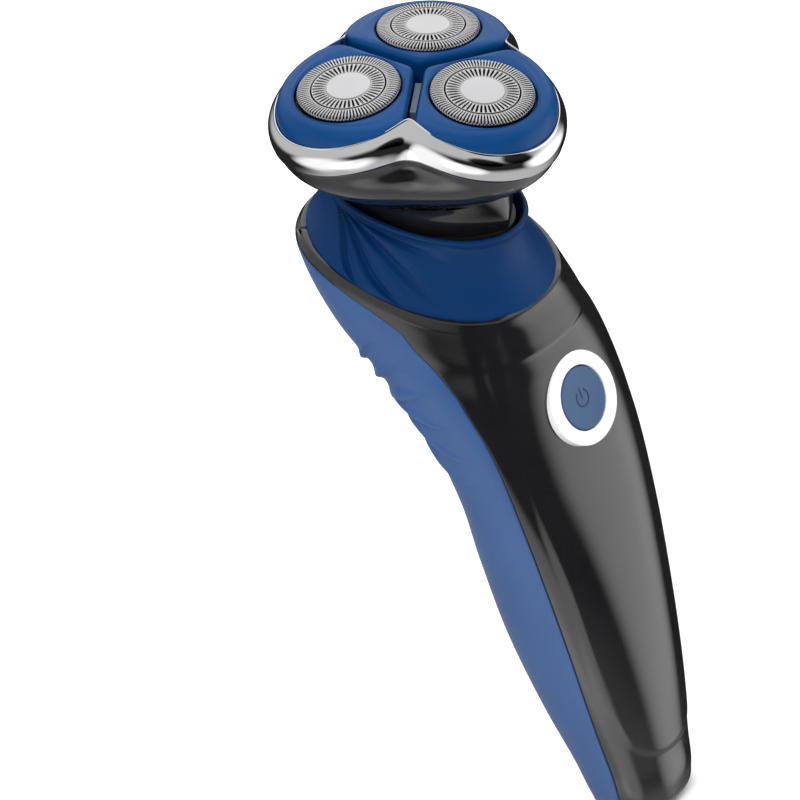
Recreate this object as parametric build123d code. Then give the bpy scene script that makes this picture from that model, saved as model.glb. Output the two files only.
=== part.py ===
from build123d import *
from math import atan, cos, pi, radians, sin, sqrt, tan
import os

# Rotary shaver, millimetres, +Z up along the handle, -Y the button side.
# The origin is the centre of the charging socket's mouth at the foot of the handle.

# ---- driving dimensions: handle ----
# stations of the handle's outer form: (height, centre y, half width, half depth, lean in degrees)
STATIONS = [
    (0.0, -1.3, 8.0, 7.8, 0.0),
    (1.2, -1.6, 9.5, 9.2, 0.0),
    (4.5, -1.9, 10.5, 10.2, 0.0),
    (12.0, -2.0, 11.7, 11.3, 0.0),
    (28.0, -1.8, 14.6, 13.9, 0.0),
    (48.0, -1.8, 17.8, 15.7, 0.0),
    (68.0, -2.6, 20.6, 15.4, 0.0),
    (85.0, -3.0, 22.7, 14.1, 0.0),
    (98.5, -1.0, 23.5, 15.3, 7.5),
    (112.0, 4.65, 23.8, 20.7, 15.4),
    (119.2, 8.9, 23.3, 24.9, 19.0),
    (127.2, 11.4, 22.6, 28.7, 27.0),
]
# y of the seam between front shell and grip at each station
SEAM_Y = [-3.6, -3.8, -4.2, -5.0, -6.6, -8.5, -9.7, -9.9, -8.6, -5.0, -1.2, 4.3]
SHOULDER = (130.3, 12.0, 21.8, 27.7, 25.0)
DECK_EDGE = (131.75, 11.35, 20.9, 26.8, 25.0)
BODY_EXPONENT = 2.4          # squareness of the handle's sections
SKIN = 1.3                   # grip cover thickness
WALL = 1.7                   # shell thickness
DECK_THICK = 2.0
DECK_HOLE = (17.0, 22.5)     # half axes of the neck opening
CAP_FRONT = 31.0             # the rear cap starts here

# ---- driving dimensions: head ----
HEAD_HEIGHT = 172.0          # centre of the comb plane
HEAD_LEAN = 17.0
CUTTER_RING = 15.2           # head axis to each comb's axis
COMB_R = 10.25
COMB_WALL = 0.35
COMB_TILT = 6.4
GAP_HALF = 0.95              # half the gap between neighbouring pods
POD_C, POD_R = 13.2, 16.0    # outer arc of a pod: centre and radius
POD_BOTTOM = -8.6
POD_TOP = -0.9
LOBES = (270, 30, 150)
NAMES = ("front", "right", "left")
JUNCTIONS = (90, 210, 330)
# lobed forms of the head: (height, lobe centre, lobe radius)
BAND_FORM = [(0.6, 12.0, 15.5), (-5.0, 12.8, 17.6), (-12.3, 12.2, 18.3)]
CUP_FORM = [(-12.3, 12.2, 18.3), (-17.5, 9.0, 18.4), (-23.5, 3.5, 13.6)]
INNER_C, INNER_R = 12.2, 16.3    # lobes of the flat pieces inside the cup
ARCH_R = 8.3
ARCH_Z = -15.5
FOOT_TOP = -23.5
SOCKET_TOP, SOCKET_FLOOR, SOCKET_BOTTOM = -30.6, -36.0, -37.4
SOCKET_A, SOCKET_B = 12.3, 20.4
FOOT_A, FOOT_B = 10.6, 18.7
PIVOT_Z = -44.0
PIN_R = 1.5
MOTOR_R, MOTOR_FLAT, MOTOR_LONG = 10.0, 15.0, 19.0
SHAFT_R = 1.0
BOOT_LOW = (-41.6, -0.9, 20.65, 26.7, 8.0)    # height, centre y, half width, half depth, lean
BOOT_MID = (-36.4, -0.1, 16.6, 23.4, 6.0)
BOOT_HIGH = (-30.6, 0.3, 14.0, 22.2, 4.0)
BOOT_RIM = (-29.3, 0.5, 15.1, 23.2, 3.0)
BOOT_WALL = 1.2

# ---- gears ----
MODULE = 0.76
SUN_TEETH, PLANET_TEETH = 14, 26
PRESSURE = radians(25)
BACKLASH = 0.05
GEAR_TOP, GEAR_THICK = -12.7, 2.0

# ---- button ----
BUTTON_AT = (0, -16.75, 98.4)
BUTTON_LEAN = 80.0
BUTTON_R, RING_R, RING_IN = 6.45, 9.65, 6.65

# ---- inside ----
SOCKET_BORE_R, SOCKET_DEEP, JACK_R, JACK_LONG = 1.8, 12.0, 4.0, 14.0
CELL_R, CELL_LONG, CELL_FOOT, CELL_Y = 7.1, 49.0, 20.5, -1.8

HEAD = Pos(0, 0, HEAD_HEIGHT) * Rot(HEAD_LEAN, 0, 0)
BUTTON = Pos(*BUTTON_AT) * Rot(BUTTON_LEAN, 0, 0)


def power(value, exponent):
    """Signed power, for superellipse points."""
    return (1 if value >= 0 else -1) * abs(value) ** exponent


def oval(half_width, half_depth, exponent=2.0, count=24):
    """Closed superellipse face in the XY plane."""
    points = []
    for i in range(count):
        t = 2 * pi * (i + 0.5) / count
        points.append((half_width * power(cos(t), 2 / exponent),
                       half_depth * power(sin(t), 2 / exponent)))
    return make_face(Spline(*points, periodic=True))


def station_frame(station):
    """Frame of one station of the handle."""
    height, centre, _, _, lean = station
    return Pos(0, centre, height) * Rot(lean, 0, 0)


def full_section(station, inset=0.0):
    """Whole oval section of the handle at one station."""
    return station_frame(station) * oval(station[2] - inset, station[3] - inset, BODY_EXPONENT)


def wall_section(station, seam_y, outer, inner, rear):
    """C-shaped section of a wall between two insets, in front of or behind the seam."""
    _, centre, width, depth, lean = station
    share = max(-1.0, min(1.0, (seam_y - centre) / cos(radians(lean)) / depth))
    start = power(share, BODY_EXPONENT / 2)
    start = atan(start / sqrt(1 - start * start))
    sweep = pi - 2 * start if rear else pi + 2 * start

    def curve(inset, backwards):
        points = []
        for i in range(13):
            t = start + sweep * i / 12 if rear else start - sweep * i / 12
            points.append(((width - inset) * power(cos(t), 2 / BODY_EXPONENT),
                           (depth - inset) * power(sin(t), 2 / BODY_EXPONENT)))
        return Spline(*(points[::-1] if backwards else points))

    outside, inside = curve(outer, False), curve(inner, True)
    edges = Curve() + [outside, Line(outside @ 1, inside @ 0), inside,
                       Line(inside @ 1, outside @ 0)]
    return station_frame(station) * make_face(edges)


def wall(outer, inner, rear):
    """Loft of the C-shaped sections over all stations."""
    return loft([wall_section(station, seam, outer, inner, rear)
                 for station, seam in zip(STATIONS, SEAM_Y)])


def box_at(x, y, z):
    """Box from three (low, high) pairs."""
    return Pos((x[0] + x[1]) / 2, (y[0] + y[1]) / 2, (z[0] + z[1]) / 2) * Box(
        x[1] - x[0], y[1] - y[0], z[1] - z[0])


def rod(radius, low, high, x=0, y=0):
    """Upright cylinder between two heights."""
    return Pos(x, y, (low + high) / 2) * Cylinder(radius, high - low)


def around(radius, angle):
    """Point on a circle about the head axis."""
    return radius * cos(radians(angle)), radius * sin(radians(angle))


def save(name, shape):
    """Write one node."""
    shape.label = name
    export_step(shape, f"parts/{name}.step")


# ---------------------------------------------------------------- handle shells
def handle_shells(parts):
    """Front shell, rear shell, grip cover, and the collar and cap round the neck."""
    button_hole = BUTTON * rod(RING_R + 0.1, -8, 6)
    parts["front_shell"] = wall(0.0, SKIN + WALL, False) - button_hole
    parts["grip_cover"] = wall(0.0, SKIN, True)
    parts["rear_shell"] = wall(SKIN, SKIN + WALL, True)
    last = STATIONS[-1]
    collar = loft([full_section(last), full_section(SHOULDER), full_section(DECK_EDGE)])
    under = (SHOULDER[0] - 0.9, SHOULDER[1] + 0.4) + SHOULDER[2:]
    room = loft([full_section(last, SKIN + WALL), full_section(under, SKIN + WALL)])
    deck = station_frame(DECK_EDGE)
    collar = collar - room - deck * extrude(oval(*DECK_HOLE), 12, both=True)
    cap_zone = box_at((-40, 40), (CAP_FRONT, 70), (100, 170))
    parts["neck_collar"] = collar - cap_zone
    parts["rear_cap"] = collar & cap_zone


# ---------------------------------------------------------------- handle insides
def handle_insides(parts):
    """Chassis, cell, board, socket and fasteners."""
    cell_zone = (CELL_FOOT - 1.2, CELL_FOOT + CELL_LONG + 1.6)
    half = [(8.4, 18), (10.6, 28), (13.6, 48), (16.2, 68), (18.2, 85), (18.6, 108)]
    rim = [(x, z) for x, z in half] + [(-x, z) for x, z in reversed(half)]
    slab = extrude(Plane.XZ * make_face(Polyline(*rim, close=True)), 6)
    slab = Pos(0, CELL_Y + 3.5, 0) * slab
    slab = slab - box_at((-CELL_R - 0.3, CELL_R + 0.3), (-20, 20), cell_zone)
    slab = slab - box_at((-11, 11), (-20, 20), (76, 92))
    posts = [BUTTON * Pos(x, y, 0) for x in (-11, 11) for y in (-14.0, 9.0)]
    board_z = -8.6
    for post in posts:
        slab = slab + post * rod(2.0, board_z - 7.5, board_z - 1.2)
    for side in (-1, 1):
        arm = Polyline((-4.2, 100), (1.6, 100), (17.5, 127), (15.5, 133.2), (10.0, 134.0),
                       (-4.2, 108), (-4.2, 100))
        plate = extrude(Plane.YZ * make_face(arm), 1.5, both=True)
        slab = slab + Pos(side * 14.4, 0, 0) * plate
    slab = slab - HEAD * Pos(0, 0, PIVOT_Z) * Rot(0, 90, 0) * Cylinder(PIN_R + 0.05, 60)
    screws = [post * (rod(0.8, board_z - 5.5, board_z) + rod(1.6, board_z, board_z + 1.0))
              for post in posts]
    for screw in screws:
        slab = slab - screw
    parts["chassis"] = slab
    parts["board_screws"] = Compound(children=[Part() + s for s in screws])
    board = BUTTON * Pos(0, -2.5, 0) * extrude(RectangleRounded(27, 34, 1.5), 1.2)
    board = BUTTON * Pos(0, 0, board_z - 1.2) * BUTTON.inverse() * board
    for post in posts:
        board = board - post * rod(0.85, board_z - 3, board_z + 3)
    parts["circuit_board"] = board
    top = BUTTON * Pos(0, 0, board_z)
    parts["tact_switch"] = top * (Pos(0, 0, 1.6) * Box(6.0, 6.0, 3.2) + rod(1.7, 3.2, 3.7))
    chip = Pos(0, -11.5, 0.8) * Box(5.2, 5.2, 1.6)
    coil = rod(2.6, 0, 2.4, -6.8, -9.5)
    caps = Pos(7.4, -9.5, 1.0) * Box(2.4, 5.0, 2.0)
    parts["board_parts"] = Compound(children=[Part() + top * p for p in (chip, coil, caps)])
    parts["charge_light"] = top * Pos(0, -17.6, 0.9) * Box(3.0, 1.6, 1.8)
    parts["battery_cell"] = rod(CELL_R, CELL_FOOT, CELL_FOOT + CELL_LONG, 0, CELL_Y) + rod(
        2.6, CELL_FOOT + CELL_LONG, CELL_FOOT + CELL_LONG + 0.8, 0, CELL_Y)
    tab_low = box_at((-4, 4), (CELL_Y - 3, CELL_Y + 3), (CELL_FOOT - 0.3, CELL_FOOT))
    tab_top = Pos(0, 0, CELL_LONG + 1.1) * tab_low
    parts["battery_tabs"] = Compound(children=[Part() + tab_low, Part() + tab_top])
    jack = rod(JACK_R, 0, JACK_LONG) - rod(SOCKET_BORE_R, -1, SOCKET_DEEP)
    jack = jack + (rod(4.9, 3.2, 4.6) - rod(JACK_R - 0.1, 3, 5))
    parts["charging_socket"] = jack
    parts["socket_seal"] = rod(4.8, 4.75, 5.75) - rod(JACK_R + 0.05, 4, 7)
    pins = [box_at((x - 0.4, x + 0.4), (-1.5, 1.5), (JACK_LONG, JACK_LONG + 3)) for x in (-2, 2)]
    parts["socket_contacts"] = Compound(children=[Part() + p for p in pins])


def button_group(parts):
    """White surround, blue button with its stem, and the seal under it."""
    ring = rod(RING_R, -2.6, 0.75) - rod(RING_IN, -3, 2)
    ring = fillet(ring.edges().filter_by(GeomType.CIRCLE).group_by(Axis.Z)[-1], 0.45)
    parts["button_ring"] = BUTTON * ring
    cap = rod(BUTTON_R, -1.65, 0.55)
    cap = cap - Pos(0, 0, 40.2) * Sphere(40)
    cap = fillet(cap.edges().filter_by(GeomType.CIRCLE).group_by(Axis.Z)[-1], 0.25)
    stem = rod(1.6, -4.0, -1.65)
    parts["button_cap"] = BUTTON * (cap + stem)
    parts["button_seal"] = BUTTON * (rod(RING_R, -3.2, -2.6) - rod(RING_IN - 1.2, -4, -2))


# ---------------------------------------------------------------- neck and motor
def boot_section(spec, inset=0.0):
    """One oval ring of the boot in the head frame."""
    height, centre, width, depth, lean = spec
    return Pos(0, centre, height) * Rot(lean, 0, 0) * oval(width - inset, depth - inset, 2.1)


def neck_group(parts):
    """Boot, socket, yoke with its pins, and motor."""
    specs = (BOOT_LOW, BOOT_MID, BOOT_HIGH, BOOT_RIM)
    outside = loft([boot_section(s) for s in specs])
    inside = loft([boot_section(s, BOOT_WALL) for s in specs])
    parts["neck_boot"] = HEAD * (outside - inside)
    tube = extrude(oval(SOCKET_A, SOCKET_B), SOCKET_TOP - SOCKET_BOTTOM)
    mouth = extrude(oval(FOOT_A + 0.3, FOOT_B + 0.3), 20)
    socket = Pos(0, 0, SOCKET_BOTTOM) * tube - Pos(0, 0, SOCKET_FLOOR) * mouth
    socket = socket - rod(3.2, SOCKET_BOTTOM - 1, SOCKET_FLOOR + 1)
    screws = [rod(0.8, SOCKET_BOTTOM - 2.0, SOCKET_FLOOR - 0.2, x, 0) for x in (-6, 6)]
    for screw in screws:
        socket = socket - screw
    parts["neck_socket"] = HEAD * socket
    can = Cylinder(MOTOR_R, MOTOR_LONG) & Box(30, MOTOR_FLAT, 30)
    top = SOCKET_BOTTOM
    can = Pos(0, 0, top - MOTOR_LONG / 2) * can
    hollow = Pos(0, 0, top - MOTOR_LONG / 2 - 1) * (
        Cylinder(MOTOR_R - 0.8, MOTOR_LONG) & Box(30, MOTOR_FLAT - 1.6, 30))
    boss = rod(3.0, top, top + 1.0)
    can = can - hollow + boss - rod(SHAFT_R + 0.05, top - 3, top + 3)
    for screw in screws:
        can = can - screw
    parts["motor_can"] = HEAD * can
    parts["motor_screws"] = Compound(children=[Part() + HEAD * s for s in screws])
    magnets = rod(MOTOR_R - 0.85, top - 16, top - 4) - rod(7.3, top - 17, top - 3)
    magnets = magnets & (Pos(0, 0, top - 10) * Box(30, MOTOR_FLAT - 1.7, 30))
    sides = [magnets & box_at(x, (-4, 4), (top - 20, top)) for x in ((4, 12), (-12, -4))]
    parts["motor_magnets"] = Compound(children=[Part() + HEAD * s for s in sides])
    low = top - MOTOR_LONG
    end = Cylinder(MOTOR_R - 0.85, 1.4) & Box(30, MOTOR_FLAT - 1.7, 30)
    end = Pos(0, 0, low + 0.7) * end - rod(SHAFT_R + 0.05, low - 2, low + 3)
    parts["motor_end_cap"] = HEAD * end
    tabs = [box_at((x - 1.2, x + 1.2), (-0.3, 0.3), (low - 2.6, low)) for x in (-5, 5)]
    parts["motor_terminals"] = Compound(children=[Part() + HEAD * t for t in tabs])
    wrap = Cylinder(MOTOR_R + 1.3, 5) & Box(40, MOTOR_FLAT + 2.4, 30)
    grip = Cylinder(MOTOR_R, 8) & Box(40, MOTOR_FLAT, 30)
    yoke = Pos(0, 0, PIVOT_Z) * (wrap - grip)
    for side in (-1, 1):
        pin = Rot(0, 90, 0) * Cylinder(PIN_R, 5.2)
        yoke = yoke + Pos(side * 13.6, 0, PIVOT_Z) * pin
        yoke = yoke + Pos(side * 11.6, 0, PIVOT_Z) * Box(1.6, 5, 5)
    parts["neck_yoke"] = HEAD * (yoke - Pos(0, 0, PIVOT_Z) * grip)


def hexagon(across):
    """Six-sided drive face."""
    return RegularPolygon(across / 2, 6, major_radius=False)


def rotor_group(parts):
    """Motor shaft, winding and the hexagonal drive dog."""
    top = SOCKET_BOTTOM
    parts["motor_shaft"] = HEAD * rod(SHAFT_R, top - MOTOR_LONG - 0.6, -29.5)
    core = rod(6.4, top - 15.5, top - 4.5)
    for i in range(3):
        x, y = around(6.4, 90 + 120 * i)
        core = core - Pos(x, y, top - 10) * Rot(0, 0, 90 + 120 * i) * Box(7, 1.4, 14)
    core = core - rod(SHAFT_R, top - 20, top)
    parts["motor_armature"] = HEAD * core
    dog = extrude(hexagon(5.0), 5.6)
    parts["drive_dog"] = HEAD * (Pos(0, 0, -35.2) * dog - rod(SHAFT_R, -40, -29.5))


# ---------------------------------------------------------------- gears
def gear_face(teeth, phase=0.0):
    """Involute gear outline; phase is the angle of a tooth's centre."""
    pitch = MODULE * teeth / 2
    base = pitch * cos(PRESSURE)
    tip = pitch + 0.92 * MODULE
    root = pitch - 1.2 * MODULE
    half = pi / (2 * teeth) - BACKLASH / pitch
    roll = tan(PRESSURE) - PRESSURE
    start = max(base, root)
    flank = []
    for i in range(5):
        r = start + (tip - start) * i / 4
        t = sqrt(max((r / base) ** 2 - 1, 0))
        flank.append((r, half + roll - (t - atan(t))))
    points = []
    for k in range(teeth):
        centre = radians(phase) + 2 * pi * k / teeth
        foot = flank[0][1]
        tooth = [(r, -a) for r, a in flank] + [(r, a) for r, a in reversed(flank)]
        if start > root + 0.05:
            tooth = [(root, -foot)] + tooth + [(root, foot)]
        points += [(r * cos(centre + a), r * sin(centre + a)) for r, a in tooth]
    return make_face(Polyline(*points, close=True))


def planet_phase(angle):
    """Angle of a planet tooth that meshes with a sun tooth at angle 0."""
    pitch = 360 / SUN_TEETH
    nearest = round(angle / pitch) * pitch
    gap = angle + 180 - (nearest - angle) * SUN_TEETH / PLANET_TEETH
    return gap + 180 / PLANET_TEETH


def gear_group(parts):
    """Sun gear with its hexagonal socket and three planet gears with spindles."""
    low = GEAR_TOP - GEAR_THICK
    sun = Pos(0, 0, low) * extrude(gear_face(SUN_TEETH), GEAR_THICK)
    sun = sun + rod(4.2, -34.4, low) - Pos(0, 0, -35) * extrude(hexagon(5.3), 7.4)
    sun = sun + rod(1.4, GEAR_TOP, GEAR_TOP + 1.5)
    parts["sun_gear"] = HEAD * sun
    for name, angle in zip(NAMES, LOBES):
        x, y = around(CUTTER_RING, angle)
        gear = extrude(gear_face(PLANET_TEETH, planet_phase(angle)), GEAR_THICK)
        gear = Pos(x, y, low) * gear
        spindle = rod(2.6, GEAR_TOP, -6.6, x, y)
        tip = Pos(x, y, -6.6) * Rot(0, 0, angle) * extrude(Rectangle(3.4, 1.8), 1.9)
        stub = rod(1.2, low - 1.1, low, x, y)
        parts[f"drive_gear_{name}"] = HEAD * (gear + spindle + tip + stub)


# ---------------------------------------------------------------- head
def lobed_face(centre, radius, inset=0.0, blend=4.0):
    """Three equal discs about the head axis, their hollow corners rounded."""
    face = Circle(radius * 0.8)
    for angle in LOBES:
        face = face + Pos(*around(centre, angle)) * Circle(radius - inset)
    return fillet(face.vertices(), blend)


def lobed_form(stations, inset=0.0):
    """Loft of lobed outlines."""
    return loft([Pos(0, 0, z) * lobed_face(c, r, inset) for z, c, r in stations])


def pod_face(angle, grow=0.0):
    """Kite-shaped outline of one pod seen along the head axis."""
    disc = Pos(POD_C, 0) * Circle(POD_R + grow)
    half_gap = GAP_HALF - grow
    apex = half_gap / sin(radians(60))
    far = 60
    wedge = make_face(Polyline((apex, 0), (apex + far * cos(radians(60)), far * sin(radians(60))),
                               (90, 0), (apex + far * cos(radians(60)), -far * sin(radians(60))),
                               (apex, 0)))
    face = disc & wedge
    corners = face.vertices().sort_by(Axis.X)
    face = fillet(corners[0], 2.0)
    outer = [v for v in face.vertices() if v.X > 4 and abs(v.Y) > 9]
    face = fillet(outer, 3.4 + grow)
    return Rot(0, 0, angle) * face


def comb_frame(angle):
    """Frame at one comb's centre, +X away from the head axis, +Z out of the comb."""
    return Rot(0, 0, angle) * Pos(CUTTER_RING, 0, 0) * Rot(0, COMB_TILT, 0)


def comb_shape():
    """Slotted steel cap with two tracks, a groove between them and a centre disc."""
    cap = rod(COMB_R, -2.4, 0) - rod(COMB_R - COMB_WALL, -3, -COMB_WALL)
    cap = fillet(cap.edges().filter_by(GeomType.CIRCLE).group_by(Axis.Z)[-1], 0.3)
    cap = cap + (rod(COMB_R + 1.1, -2.8, -2.4) - rod(COMB_R - COMB_WALL, -3, -2))
    cap = cap - (rod(7.65, -0.2, 1) - rod(7.2, -0.3, 2))
    slots = Sketch() + [Rot(0, 0, a) * Pos(8.9, 0) * Rectangle(1.9, 0.35)
                        for a in range(0, 360, 8)]
    slots = slots + [Rot(0, 0, a) * Pos(5.9, 0) * Rectangle(2.0, 0.35)
                     for a in range(0, 360, 15)]
    cap = cap - Pos(0, 0, -1) * extrude(slots, 2)
    return cap


def pod_group(parts):
    """Pods, combs, retaining rings and cutters, three of each."""
    comb = comb_shape()
    ring = rod(9.3, -5.6, -2.95) - rod(8.7, -6, -2)
    ring = ring + (rod(11.6, -3.9, -2.95) - rod(9.0, -5, -2))
    hub = rod(3.4, -4.6, -1.9) - Pos(0, 0, -5.5) * extrude(Rectangle(4.9, 3.3), 2.8)
    blades = rod(9.2, -2.3, -1.7) - rod(3.4, -3, -1)
    for a in range(0, 360, 24):
        blades = blades + Rot(0, 0, a) * Pos(8.45, 0, -1.15) * Rot(25, 0, 0) * Box(1.5, 0.3, 1.2)
        blades = blades + Rot(0, 0, a) * Pos(5.9, 0, -1.15) * Rot(25, 0, 0) * Box(1.7, 0.3, 1.2)
    for name, angle in zip(NAMES, LOBES):
        place = comb_frame(angle)
        block = Pos(0, 0, POD_BOTTOM) * extrude(pod_face(angle), 12)
        block = block - place * Pos(0, 0, POD_TOP + 10) * Box(90, 90, 20)
        top = [e for e in block.edges() if abs((place.inverse() * e).center().Z - POD_TOP) < 0.05]
        block = fillet(top, 1.1)
        block = block - place * rod(COMB_R + 0.4, -1.8, 5)
        inner = Pos(0, 0, POD_BOTTOM - 1) * extrude(pod_face(angle, -1.3), 12)
        block = block - (inner - place * Pos(0, 0, 8.1) * Box(90, 90, 20))
        block = block - place * rod(COMB_R + 0.4, -4, 5) - place * rod(11.9, -4.2, -2.3)
        parts[f"pod_{name}"] = HEAD * block
        parts[f"comb_{name}"] = HEAD * place * comb
        parts[f"comb_holder_{name}"] = HEAD * place * ring
        parts[f"cutter_hub_{name}"] = HEAD * place * hub
        parts[f"cutter_blades_{name}"] = HEAD * place * blades


def head_group(parts):
    """Chrome band, carrier, cup, gear cover and the foot that plugs into the neck."""
    band = lobed_form(BAND_FORM)
    arches = Part() + [Rot(0, 0, a) * Pos(22, 0, ARCH_Z) * Rot(0, 90, 0) * Cylinder(ARCH_R, 16)
                       for a in JUNCTIONS]
    pockets = Part() + [Pos(0, 0, POD_BOTTOM - 1.1) * extrude(pod_face(a, 0.6), 20)
                        for a in LOBES]
    core = Pos(0, 0, -20) * extrude(lobed_face(*BAND_FORM[2][1:], 1.6), 10.4)
    ring = band - pockets - core - rod(17.4, -20, 5)
    inner = Pos(0, 0, -20) * extrude(lobed_face(*BAND_FORM[2][1:], 1.6), 30)
    arch_walls = (ring & arches) - inner
    parts["chrome_band"] = HEAD * (ring - arches)
    carrier = Pos(0, 0, -11.2) * extrude(lobed_face(INNER_C, INNER_R), 1.4)
    for a in JUNCTIONS:
        carrier = carrier + Rot(0, 0, a) * box_at((2.6, 12.8), (-0.6, 0.6), (-10.5, -2.2))
        carrier = carrier + Rot(0, 0, a) * box_at((12.0, 17.3), (-0.6, 0.6), (-10.5, -6.0))
    for a in LOBES:
        carrier = carrier - rod(3.0, -15, -5, *around(CUTTER_RING, a))
    parts["pod_carrier"] = HEAD * (carrier - rod(1.6, -15, -8.5))
    shell = lobed_form(CUP_FORM) + arch_walls
    shell = shell - Pos(0, 0, -15.0) * extrude(lobed_face(INNER_C, INNER_R + 0.2), 8)
    shell = shell - rod(4.5, -30, -10) - rod(10.0, -20.0, -10)
    for a in LOBES:
        shell = shell - rod(1.25, -17.2, -10, *around(CUTTER_RING, a))
    parts["head_cup"] = HEAD * shell
    cover = Pos(0, 0, -12.5) * extrude(lobed_face(INNER_C, INNER_R), 1.1)
    cover = cover - rod(1.45, -15, -8.5)
    for a in LOBES:
        cover = cover - rod(2.65, -15, -8.5, *around(CUTTER_RING, a))
    parts["gear_cover"] = HEAD * cover
    keel = [(0.0, FOOT_B, FOOT_A), (-6.0, FOOT_B - 0.3, FOOT_A), (-12.1, FOOT_B - 2.5, FOOT_A - 1.5)]
    foot = loft([Pos(0, 0, FOOT_TOP + z) * oval(w, d, 1.9) for z, d, w in keel])
    foot = foot - rod(4.5, -50, -10)
    parts["coupling_foot"] = HEAD * foot


def main():
    """Build every node and write it."""
    os.makedirs("parts", exist_ok=True)
    parts = {}
    handle_shells(parts)
    handle_insides(parts)
    button_group(parts)
    neck_group(parts)
    rotor_group(parts)
    gear_group(parts)
    pod_group(parts)
    head_group(parts)
    for name, shape in parts.items():
        save(name, shape)
    print(len(parts), "nodes")


main()
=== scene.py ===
import logging
import math
from dataclasses import dataclass, field
from enum import Enum

import bmesh
import bpy
import numpy as np
from mathutils import Matrix, Vector


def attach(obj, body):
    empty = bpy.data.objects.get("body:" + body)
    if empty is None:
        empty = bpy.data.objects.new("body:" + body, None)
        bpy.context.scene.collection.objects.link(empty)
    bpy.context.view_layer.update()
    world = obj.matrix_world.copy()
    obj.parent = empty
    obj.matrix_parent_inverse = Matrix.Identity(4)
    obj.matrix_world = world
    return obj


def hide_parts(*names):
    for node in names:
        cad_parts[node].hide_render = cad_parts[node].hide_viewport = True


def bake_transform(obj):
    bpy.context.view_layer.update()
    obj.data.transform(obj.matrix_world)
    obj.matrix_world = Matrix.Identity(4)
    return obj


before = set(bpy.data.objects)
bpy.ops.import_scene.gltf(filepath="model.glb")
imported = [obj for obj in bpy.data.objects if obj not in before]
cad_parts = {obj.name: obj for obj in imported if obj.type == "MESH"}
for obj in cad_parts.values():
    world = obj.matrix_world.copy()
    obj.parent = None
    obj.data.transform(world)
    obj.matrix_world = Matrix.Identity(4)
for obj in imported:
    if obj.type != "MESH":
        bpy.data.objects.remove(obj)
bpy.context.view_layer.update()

# Looks of a three-head rotary shaver. Lengths in the classes are millimetres in the CAD frame:
# +Z up the handle, -Y the button side. MM turns them into metres when a mesh is made.
MM = 0.001
LOG = logging.getLogger("shaver")


class Lobe(Enum):
    """The three shaving heads, by the angle of their middle about the head axis."""

    FRONT = 270.0
    RIGHT = 30.0
    LEFT = 150.0


class Pattern(Enum):
    """How a finish varies over its surface."""

    MOULDED = "moulded"
    RUBBER = "rubber"
    BRUSHED = "brushed"


# ------------------------------------------------------------------ shape helpers
def signed_power(value: np.ndarray, exponent: np.ndarray | float) -> np.ndarray:
    """Power that keeps the sign: sign(v) times |v| to the exponent.

    Args:
        value: Numbers of either sign.
        exponent: Power, one number or one per value.

    Returns:
        The signed powers.
    """
    return np.sign(value) * np.abs(value) ** exponent


def smooth_step(value: np.ndarray, low: float, high: float) -> np.ndarray:
    """Rise from 0 at low to 1 at high as 3t squared less 2t cubed.

    Args:
        value: Where to read the step.
        low: Start of the rise.
        high: End of the rise.

    Returns:
        Values from 0 to 1.
    """
    t = np.clip((value - low) / (high - low), 0.0, 1.0)
    return t * t * (3.0 - 2.0 * t)


def curve_through(knots: np.ndarray, values: np.ndarray, at: np.ndarray) -> np.ndarray:
    """Cubic Hermite curve through values, its slopes the weighted mean of the chords beside a knot.

    Args:
        knots: Rising parameters, one per value.
        values: Rows of values to pass through.
        at: Parameters to read.

    Returns:
        One row per parameter.
    """
    values = np.asarray(values, float)
    step = np.diff(knots)
    chord = np.diff(values, axis=0) / step.reshape(-1, *([1] * (values.ndim - 1)))
    slope = np.empty_like(values)
    slope[0], slope[-1] = chord[0], chord[-1]
    left = step[:-1].reshape(-1, *([1] * (values.ndim - 1)))
    right = step[1:].reshape(-1, *([1] * (values.ndim - 1)))
    slope[1:-1] = (chord[:-1] * right + chord[1:] * left) / (left + right)
    at = np.clip(at, knots[0], knots[-1])
    i = np.clip(np.searchsorted(knots, at, side="right") - 1, 0, len(knots) - 2)
    h = step[i]
    t = (at - knots[i]) / h
    if values.ndim > 1:
        h, t = h[..., None], t[..., None]
    return ((1 + 2 * t) * (1 - t) ** 2 * values[i] + t * (1 - t) ** 2 * h * slope[i]
            + t * t * (3 - 2 * t) * values[i + 1] + t * t * (t - 1) * h * slope[i + 1])


def surface_normals(points: np.ndarray, wrap: bool = False) -> np.ndarray:
    """Unit normals of a grid: the cross product of the slopes along its columns and its rows.

    Args:
        points: Grid of points, rows by columns by 3.
        wrap: Whether the last column meets the first.

    Returns:
        One unit normal per point.
    """
    along = np.gradient(points, axis=0)
    if wrap:
        across = np.roll(points, -1, axis=1) - np.roll(points, 1, axis=1)
    else:
        across = np.gradient(points, axis=1)
    normal = np.cross(across, along)
    size = np.linalg.norm(normal, axis=-1, keepdims=True)
    return normal / np.maximum(size, 1e-9)


def roll_edge(points: np.ndarray, radius: float, depth: float, gap: float) -> np.ndarray:
    """Adds a rounded edge after the last row: a quarter circle turning inward, then a straight wall.

    Args:
        points: Grid whose last row is the edge to round.
        radius: Radius of the rounding.
        depth: How far the wall goes in.
        gap: Clearance kept outside the edge.

    Returns:
        The grid with five more rows.
    """
    normal = surface_normals(points)[-1]
    out = points[-1] - points[-2]
    out = out - np.sum(out * normal, axis=-1, keepdims=True) * normal
    out = out / np.maximum(np.linalg.norm(out, axis=-1, keepdims=True), 1e-9)
    edge = points[-1] - out * (radius + gap)
    keep = points[:-1]
    rows = [edge + out * radius * math.sin(a) - normal * radius * (1 - math.cos(a))
            for a in np.radians([0, 30, 60, 90])]
    rows.append(edge + out * radius - normal * depth)
    return np.concatenate([keep, np.array(rows)], axis=0)


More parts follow.
